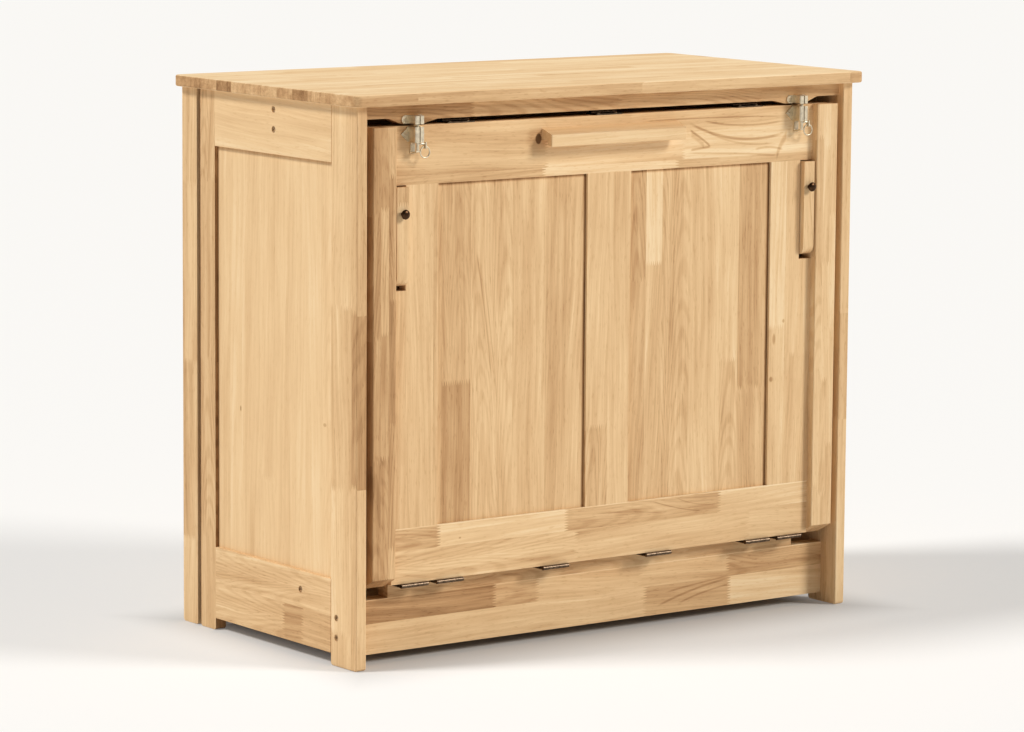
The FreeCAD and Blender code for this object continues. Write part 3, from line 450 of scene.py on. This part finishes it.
board(
    "door_top_rail", X, Z, [
        (0.014, [0.58, -0.1305, 0.78, 0.1473, 0.62, 0.2377, 0.76]),
        (0.056, [0.66, -0.125, 0.76, 0.160, 0.83]),
        (0.025, [0.66, 0.05, 0.72]),
    ], 71,
    marks=[
        (-0.147, 0.8405, 0.007, 0.010, 1.0),
        (-0.147, 0.8405, 0.030, 0.024, 0.14),
    ],
    veins=[
        (0.1668, 0.8517, 0.3712, 0.8255, -0.017, 0.0036, 0.34),
        (0.1990, 0.8534, 0.3709, 0.8470, -0.007, 0.0026, 0.26),
        (0.1680, 0.8401, 0.2129, 0.8116, 0.001, 0.0034, 0.36),
        (0.1699, 0.8072, 0.2129, 0.8111, 0.000, 0.0030, 0.32),
        (0.1700, 0.8330, 0.2000, 0.8120, 0.002, 0.0070, 0.18),
        (0.3083, 0.8006, 0.3716, 0.7976, 0.004, 0.0030, 0.26),
        (0.1642, 0.8024, 0.3625, 0.7884, 0.001, 0.0024, 0.20),
        (0.3560, 0.7880, 0.3790, 0.8230, 0.003, 0.0110, 0.24),
        (0.0658, 0.8593, 0.3704, 0.8557, 0.001, 0.0020, 0.24),
        (0.2000, 0.8380, 0.3500, 0.8100, -0.010, 0.0026, 0.16),
    ],
)
board(
    "door_bottom_rail", X, Z, [
        (0.0535, [0.70, -0.0569, 0.68, 0.31, 0.72]),
        (0.045, [0.60, -0.3375, 0.80, -0.0781, 0.62, 0.2472, 0.80]),
    ], 72,
    marks=[
        (-0.300, 0.196, 0.003, 0.002, 0.3),
        (0.06, 0.205, 0.05, 0.006, 0.16),
    ],
    veins=[
        (0.094, 0.2193, 0.205, 0.1918, -0.004, 0.0016, 0.18),
        (0.147, 0.2193, 0.240, 0.2010, -0.006, 0.0014, 0.14),
        (-0.020, 0.2080, 0.120, 0.1950, 0.003, 0.0014, 0.14),
    ],
    # Painted highlight: a bright hairline along the rail's top edge.
    seams=[(Z, part_edge("door_bottom_rail", HIGH, Z), GLINT_REACH, GLINT)],
)
board("door_stile_left", Z, X, [(0.028, [0.60, 0.33, 0.66]), (0.053, [0.71]), (0.018, [0.64])], 41)
board(
    "door_stile_right", Z, X, [
        (0.034, [0.76, 0.50, 0.86]),
        (0.056, [0.72, 0.45, 0.76]),
    ], 42,
    marks=[
        (0.504, 0.3776, 0.004, 0.003, 0.30),
        (0.474, 0.357, 0.012, 0.004, 0.30),
        (0.405, 0.352, 0.006, 0.005, 0.35),
    ],
)
board(
    "door_panel_left", Z, X, [
        (0.018, [0.58]),
        (0.0584, [0.46, 0.456, 0.58]),
        (0.0844, [0.70]),
        (0.0672, [0.68]),
        (0.045, [0.60]),
        (0.050, [0.64]),
    ], 43,
    veins=[
        (0.457, -0.236, 0.664, -0.267, 0.002, 0.0020, 0.20),
        (0.40, -0.222, 0.62, -0.252, 0.002, 0.0016, 0.14),
    ],
    # Painted shade along the panel's right edge by the centre stile and along its top edge under
    # the rail.
    seams=[
        (X, part_edge("door_centre_stile", LOW, X), SHADE, 0.55),
        (Z, PANEL_TOP, SHADE, 0.40),
    ],
)
board(
    "door_panel_right", Z, X, [
        (0.0447, [0.60, 0.60, 0.56]),
        (0.0339, [0.68, 0.625, 0.84]),
        (0.060, [0.70]),
        (0.0669, [0.74]),
        (0.0384, [0.68, 0.45, 0.78]),
        (0.080, [0.62, 0.40, 0.56]),
    ], 44,
    # Painted shade along the panel's right edge by the stile and along its top edge under the rail.
    seams=[
        (X, part_edge("door_stile_right", LOW, X), SHADE, 0.55),
        (Z, PANEL_TOP, SHADE, 0.40),
    ],
)
board("door_centre_stile", Z, X, [(0.045, [0.66, 0.36, 0.74]), (0.045, [0.74])], 73)
board("pull_handle", X, Z, 0.030, 74, tone=0.80, spread=0.04, figure=0.7)
board("foot_near_rail", X, Z, 0.045, 75)
board("foot_far_rail", X, Z, 0.045, 76)
board("foot_deck_board", Z, X, 0.110, 77, spread=0.05, block=2.0)


# ---------------------------------------------------------------- the metals

# Lumps of noise to a metre on metal, and the depth of its rough skin.
CLOUDS, RUBBING_OVER, RUBBING_ALONG, SKIN = 160.0, 900.0, 140.0, 2600.0
SKIN_DEPTH = 0.00006


def metal(name, dark, light, roughness):
    """Cast or drawn metal: cloudy tone, fine rubbing marks and a rough skin."""
    finish = Finish(name, {"Metallic": 1.0})
    x, y, z = finish.place()
    clouds = finish.cloud(x * CLOUDS, y * CLOUDS, z * CLOUDS, 4.0, 0.6)
    rubbing = finish.cloud(x * RUBBING_OVER, y * RUBBING_OVER, z * RUBBING_ALONG, 2.0, 0.6)
    skin = finish.cloud(x * SKIN, y * SKIN, z * SKIN, 1.0)
    finish.feed(
        Base_Color=finish.ramp(clouds * 0.7 + rubbing * 0.3, [(0.30, dark), (0.68, light)]),
        Roughness=roughness + (rubbing - 0.5) * 0.25 + (clouds - 0.5) * 0.2,
        Normal=finish.bump(skin * 0.6 + rubbing * 0.4, SKIN_DEPTH),
    )
    return finish.material


zinc = metal("zinc_plate", paint(190, 178, 156), paint(242, 228, 200), 0.44)
bronze = metal("dark_bronze", paint(44, 32, 24), paint(132, 112, 92), 0.36)
knob_bronze = metal("knob_bronze", paint(44, 30, 20), paint(88, 62, 42), 0.30)
bolt_metal = metal("bolt_steel", paint(150, 120, 88), paint(222, 194, 156), 0.46)
for name in ("latch_cases", "latch_keepers", "front_leg_pivots", "foot_leg_pivots"):
    dress(name, zinc)
for _, side in SIDES:
    dress("latch_bolt_" + side, zinc)
    dress("pull_ring_" + side, zinc)
    dress("front_leg_knob_" + side, knob_bronze)
for name in ("cabinet_hinge_leaves", "lower_hinge_pins", "door_hinge_leaves"):
    dress(name, bronze)
for name in ("fold_hinge_door_leaves", "fold_hinge_foot_leaves", "fold_hinge_pins"):
    dress(name, bronze)
dress("side_bolts", bolt_metal)


# ---------------------------------------------------------------- screws

# A screw head is drawn with a radius of 1, and every size here is a share of it.
HEAD_SIDES, HEAD_TOP, HEAD_HEIGHT, SLOT_WIDTH = 20, 0.72, 0.34, 0.20


def screw_tree():
    """A node tree that stands a cross-slotted screw head on every point."""
    tree = bpy.data.node_groups.new("cross_slotted_screws", "GeometryNodeTree")
    for name, kind in (
        ("Geometry", "NodeSocketGeometry"), ("Head Height", "NodeSocketFloat"),
        ("Slot Width", "NodeSocketFloat"), ("Turn Seed", "NodeSocketInt"),
        ("Metal", "NodeSocketMaterial"),
    ):
        tree.interface.new_socket(name, in_out="INPUT", socket_type=kind)
    tree.interface.new_socket("Geometry", in_out="OUTPUT", socket_type="NodeSocketGeometry")

    def node(kind, settings, sockets, output=0):
        made = tree.nodes.new(kind)
        for key, value in settings.items():
            setattr(made, key, value)
        for key, values in sockets.items():
            for value in values if isinstance(values, list) else [values]:
                if isinstance(value, bpy.types.NodeSocket):
                    tree.links.new(value, made.inputs[key])
                else:
                    made.inputs[key].default_value = value
        return made.outputs[output]

    def joined(operation, sockets):
        settings = {"operation": operation, "solver": "MANIFOLD"}
        return node("GeometryNodeMeshBoolean", settings, sockets)

    def attribute(name, kind):
        return node("GeometryNodeInputNamedAttribute", {"data_type": kind}, {"Name": name})

    given = tree.nodes.new("NodeGroupInput").outputs
    height, slot = given["Head Height"], given["Slot Width"]
    head = node("GeometryNodeMeshCone", {}, {
        "Vertices": HEAD_SIDES, "Side Segments": 1,
        "Radius Top": HEAD_TOP, "Radius Bottom": 1.0, "Depth": height,
    })
    raised = node("ShaderNodeCombineXYZ", {}, {"Z": height})
    bars = []
    for long_axis, short_axis in (("X", "Y"), ("Y", "X")):
        size = node("ShaderNodeCombineXYZ", {}, {long_axis: 1.0, short_axis: slot, "Z": height})
        bar = node("GeometryNodeMeshCube", {}, {"Size": size})
        moved = node("GeometryNodeTransform", {}, {"Geometry": bar, "Translation": raised})
        bars.append(moved)
    cross = joined("UNION", {"Mesh 2": bars})
    slotted = joined("DIFFERENCE", {"Mesh 1": head, "Mesh 2": cross})

    facing = attribute("facing", "FLOAT_VECTOR")
    upright = node("FunctionNodeAlignRotationToVector", {"axis": "Z"}, {"Vector": facing})
    turn = node(
        "FunctionNodeRandomValue", {"data_type": "FLOAT"},
        {3: math.pi, "Seed": given["Turn Seed"]}, 1,
    )
    about = node("FunctionNodeAxisAngleToRotation", {}, {"Axis": (0.0, 0.0, 1.0), "Angle": turn})
    turned = node(
        "FunctionNodeRotateRotation", {"rotation_space": "LOCAL"},
        {"Rotation": upright, "Rotate By": about},
    )
    heads = node("GeometryNodeInstanceOnPoints", {}, {
        "Points": given["Geometry"], "Instance": slotted,
        "Rotation": turned, "Scale": attribute("head_radius", "FLOAT"),
    })
    real = node("GeometryNodeRealizeInstances", {}, {0: heads})
    finished = node("GeometryNodeSetMaterial", {}, {"Geometry": real, "Material": given["Metal"]})
    tree.links.new(finished, tree.nodes.new("NodeGroupOutput").inputs[0])
    return tree


def screws(name, body, tree, places, material, seed):
    """Screw heads for one body. places are (place, way it faces, radius)."""
    points = bpy.data.meshes.new(name + "_places")
    points.from_pydata([place for place, _, _ in places], [], [])
    points.attributes.new("facing", "FLOAT_VECTOR", "POINT")
    points.attributes.new("head_radius", "FLOAT", "POINT")
    ways = [part for _, way, _ in places for part in way]
    points.attributes["facing"].data.foreach_set("vector", ways)
    radii = [radius for _, _, radius in places]
    points.attributes["head_radius"].data.foreach_set("value", radii)
    source = bpy.data.objects.new(name + "_places", points)
    bpy.context.scene.collection.objects.link(source)
    modifier = source.modifiers.new("screws", "NODES")
    modifier.node_group = tree
    chosen = {
        "Head Height": HEAD_HEIGHT, "Slot Width": SLOT_WIDTH,
        "Turn Seed": seed, "Metal": material,
    }
    for socket in tree.interface.items_tree:
        if socket.in_out == "INPUT" and socket.name in chosen:
            modifier[socket.identifier] = chosen[socket.name]
    evaluated = source.evaluated_get(bpy.context.evaluated_depsgraph_get())
    mesh = bpy.data.meshes.new_from_object(evaluated)
    mesh.materials.clear()
    mesh.materials.append(material)
    mesh.polygons.foreach_set("material_index", [0] * len(mesh.polygons))
    piece = bpy.data.objects.new(name, mesh)
    bpy.data.objects.remove(source)
    bpy.context.scene.collection.objects.link(piece)
    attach(piece, body)


FRONTWARD, BACKWARD, UPWARD, DOWNWARD = (0, -1, 0), (0, 1, 0), (0, 0, 1), (0, 0, -1)
SMALL_HEAD, LARGE_HEAD = 0.0022, 0.0034
cabinet_screws, front_screws, foot_screws = [], [], []

# Latches: two screws in each keeper, and two in the plate of each case.
LATCH_X, LATCH_FACE = 0.398, deep(0.011)
KEEPER_REACH, KEEPER_HEIGHT = 0.0155, 0.88315
CASE_REACH, CASE_HEIGHT = 0.0150, 0.8595
for latch in (-LATCH_X, LATCH_X):
    for sign in (-1, 1):
        keeper = (latch + sign * KEEPER_REACH, LATCH_FACE, KEEPER_HEIGHT)
        case = (latch + sign * CASE_REACH, LATCH_FACE, CASE_HEIGHT)
        cabinet_screws.append((keeper, FRONTWARD, SMALL_HEAD))
        front_screws.append((case, FRONTWARD, SMALL_HEAD))

# Hinges: three screws in each lower leaf, and two in each leaf of the fold hinges.
LOWER_HINGES_X = (-0.393, -0.323, -0.108, 0.108, 0.323, 0.393)
FOLD_HINGES_X = (-0.300, 0.0, 0.300)
LEAF_PITCH = 0.018
CABINET_LEAF_Y, CABINET_LEAF_TOP = deep(0.046), 0.128
DOOR_LEAF_Y, DOOR_LEAF_FOOT = deep(0.023), 0.1295
FOLD_DOOR_Y, FOLD_FOOT_Y, FOLD_LEAF_TOP = deep(0.022), deep(0.0415), 0.875
for hinge in LOWER_HINGES_X:
    for step in (-1, 0, 1):
        beside = hinge + step * LEAF_PITCH
        cabinet_screws.append(((beside, CABINET_LEAF_Y, CABINET_LEAF_TOP), UPWARD, SMALL_HEAD))
        front_screws.append(((beside, DOOR_LEAF_Y, DOOR_LEAF_FOOT), DOWNWARD, SMALL_HEAD))
for hinge in FOLD_HINGES_X:
    for step in (-1, 1):
        beside = hinge + step * LEAF_PITCH
        front_screws.append(((beside, FOLD_DOOR_Y, FOLD_LEAF_TOP), UPWARD, SMALL_HEAD))
        foot_screws.append(((beside, FOLD_FOOT_Y, FOLD_LEAF_TOP), UPWARD, SMALL_HEAD))

# The back panel: a row along its top and bottom rail, and a row up each side.
BACK_STEP_ALONG, BACK_STEP_UP, BACK_SIDE_X, BACK_SIDE_FOOT = 0.150, 0.1526, 0.483, 0.110
back_face = part_edge("back_panel", HIGH, Y)
low_row = part_edge("back_bottom_rail", LOW, Z) + 0.025
high_row = part_edge("back_top_rail", HIGH, Z) - 0.035
for step in range(-3, 4):
    for height in (low_row, high_row):
        cabinet_screws.append(((step * BACK_STEP_ALONG, back_face, height), BACKWARD, LARGE_HEAD))
for sign in (-1, 1):
    for step in range(6):
        place = (sign * BACK_SIDE_X, back_face, BACK_SIDE_FOOT + step * BACK_STEP_UP)
        cabinet_screws.append((place, BACKWARD, LARGE_HEAD))

# The deck: each slat is screwed to the rails under it.
SLAT_COUNT, HALF_SLAT = 8, 0.050
SLAT_SCREW_DEPTHS = (0.061, 0.161, 0.501)
slats_low, slats_high = part_edge("deck_slats", LOW, X), part_edge("deck_slats", HIGH, X)
slats_top = part_edge("deck_slats", HIGH, Z)
slat_span = slats_high - slats_low - 2 * HALF_SLAT
for step in range(SLAT_COUNT):
    middle = slats_low + HALF_SLAT + step * slat_span / (SLAT_COUNT - 1)
    for depth in SLAT_SCREW_DEPTHS:
        cabinet_screws.append(((middle, deep(depth), slats_top), UPWARD, LARGE_HEAD))

screw_heads = screw_tree()
screws("cabinet_screws", "cabinet", screw_heads, cabinet_screws, zinc, 3)
screws("front_panel_screws", "front_panel", screw_heads, front_screws, zinc, 5)
screws("foot_panel_screws", "foot_panel", screw_heads, foot_screws, bronze, 7)


# ---------------------------------------------------------------- floor, light and camera

FLOOR_HALF, FLOOR_DROP = 45.0, 0.0005
FLOOR_GLOW = 0.36


def studio_floor():
    """A pale floor. It glows a little, painted light that keeps its shadows pale; under the cabinet
    the glow fades out, a painted shadow.
    """
    mesh = bpy.data.meshes.new("studio_floor")
    corners = ((-1, -1), (1, -1), (1, 1), (-1, 1))
    places = [(x * FLOOR_HALF, y * FLOOR_HALF, -FLOOR_DROP) for x, y in corners]
    mesh.from_pydata(places, [], [(0, 1, 2, 3)])
    floor = bpy.data.objects.new("studio_floor", mesh)
    bpy.context.scene.collection.objects.link(floor)
    finish = Finish("pale_floor", {
        "Base Color": paint(196, 195, 193), "Roughness": 0.9,
        "Specular IOR Level": 0.1, "Emission Strength": FLOOR_GLOW,
    })
    x, y, _ = finish.place()
    # The glow fades out under the cabinet: painted shadow on the floor, which also keeps the inside
    # of the cabinet dark.
    away = abs(x).ease(0.42, 0.62).larger(abs(y).ease(0.16, 0.40))
    glow_and_painted_shadow = [(0.0, paint(40, 38, 36)), (1.0, paint(255, 254, 252))]
    finish.feed(Emission_Color=finish.ramp(away, glow_and_painted_shadow))
    mesh.materials.append(finish.material)


def soft_sun(name, comes_from, strength, spread, colour):
    """A sun from a direction. spread is the angle it fills, in degrees."""
    light = bpy.data.lights.new(name, "SUN")
    light.energy = strength
    light.angle = math.radians(spread)
    light.color = colour
    lamp = bpy.data.objects.new(name, light)
    lamp.rotation_euler = Vector(comes_from).to_track_quat("Z", "Y").to_euler()
    bpy.context.scene.collection.objects.link(lamp)


studio_floor()
soft_sun("key_light", (0.60, -0.65, 0.50), 2.25, 18, (1.0, 0.982, 0.955))
soft_sun("rear_light", (-0.70, 0.28, 0.85), 2.5, 14, (1.0, 0.99, 0.975))

scene = bpy.context.scene
world = bpy.data.worlds.new("studio")
world.use_nodes = True
background = world.node_tree.nodes["Background"]
background.inputs["Color"].default_value = (1.0, 0.995, 0.985, 1.0)
background.inputs["Strength"].default_value = 0.15
scene.world = world
scene.view_settings.view_transform = "Standard"

CAMERA_PLACE = (-4.3922, -5.9527, 1.4631)
CAMERA_TURN, CAMERA_PITCH, CAMERA_ROLL = -0.6336, -0.1392, -0.0072
FOCAL_PIXELS, PICTURE_PIXELS, SENSOR = 4379.93, 1024, 36.0
lens = bpy.data.cameras.new("studio_camera")
lens.sensor_width = SENSOR
lens.lens = FOCAL_PIXELS / PICTURE_PIXELS * SENSOR
lens.clip_end = 200.0
camera = bpy.data.objects.new("studio_camera", lens)
camera.matrix_world = (
    Matrix.Translation(CAMERA_PLACE)
    @ Matrix.Rotation(CAMERA_TURN, 4, "Z")
    @ Matrix.Rotation(CAMERA_PITCH, 4, "X")
    @ Matrix.Rotation(CAMERA_ROLL, 4, "Y")
    @ Matrix.Rotation(math.pi / 2, 4, "X")
)
scene.collection.objects.link(camera)
scene.camera = camera
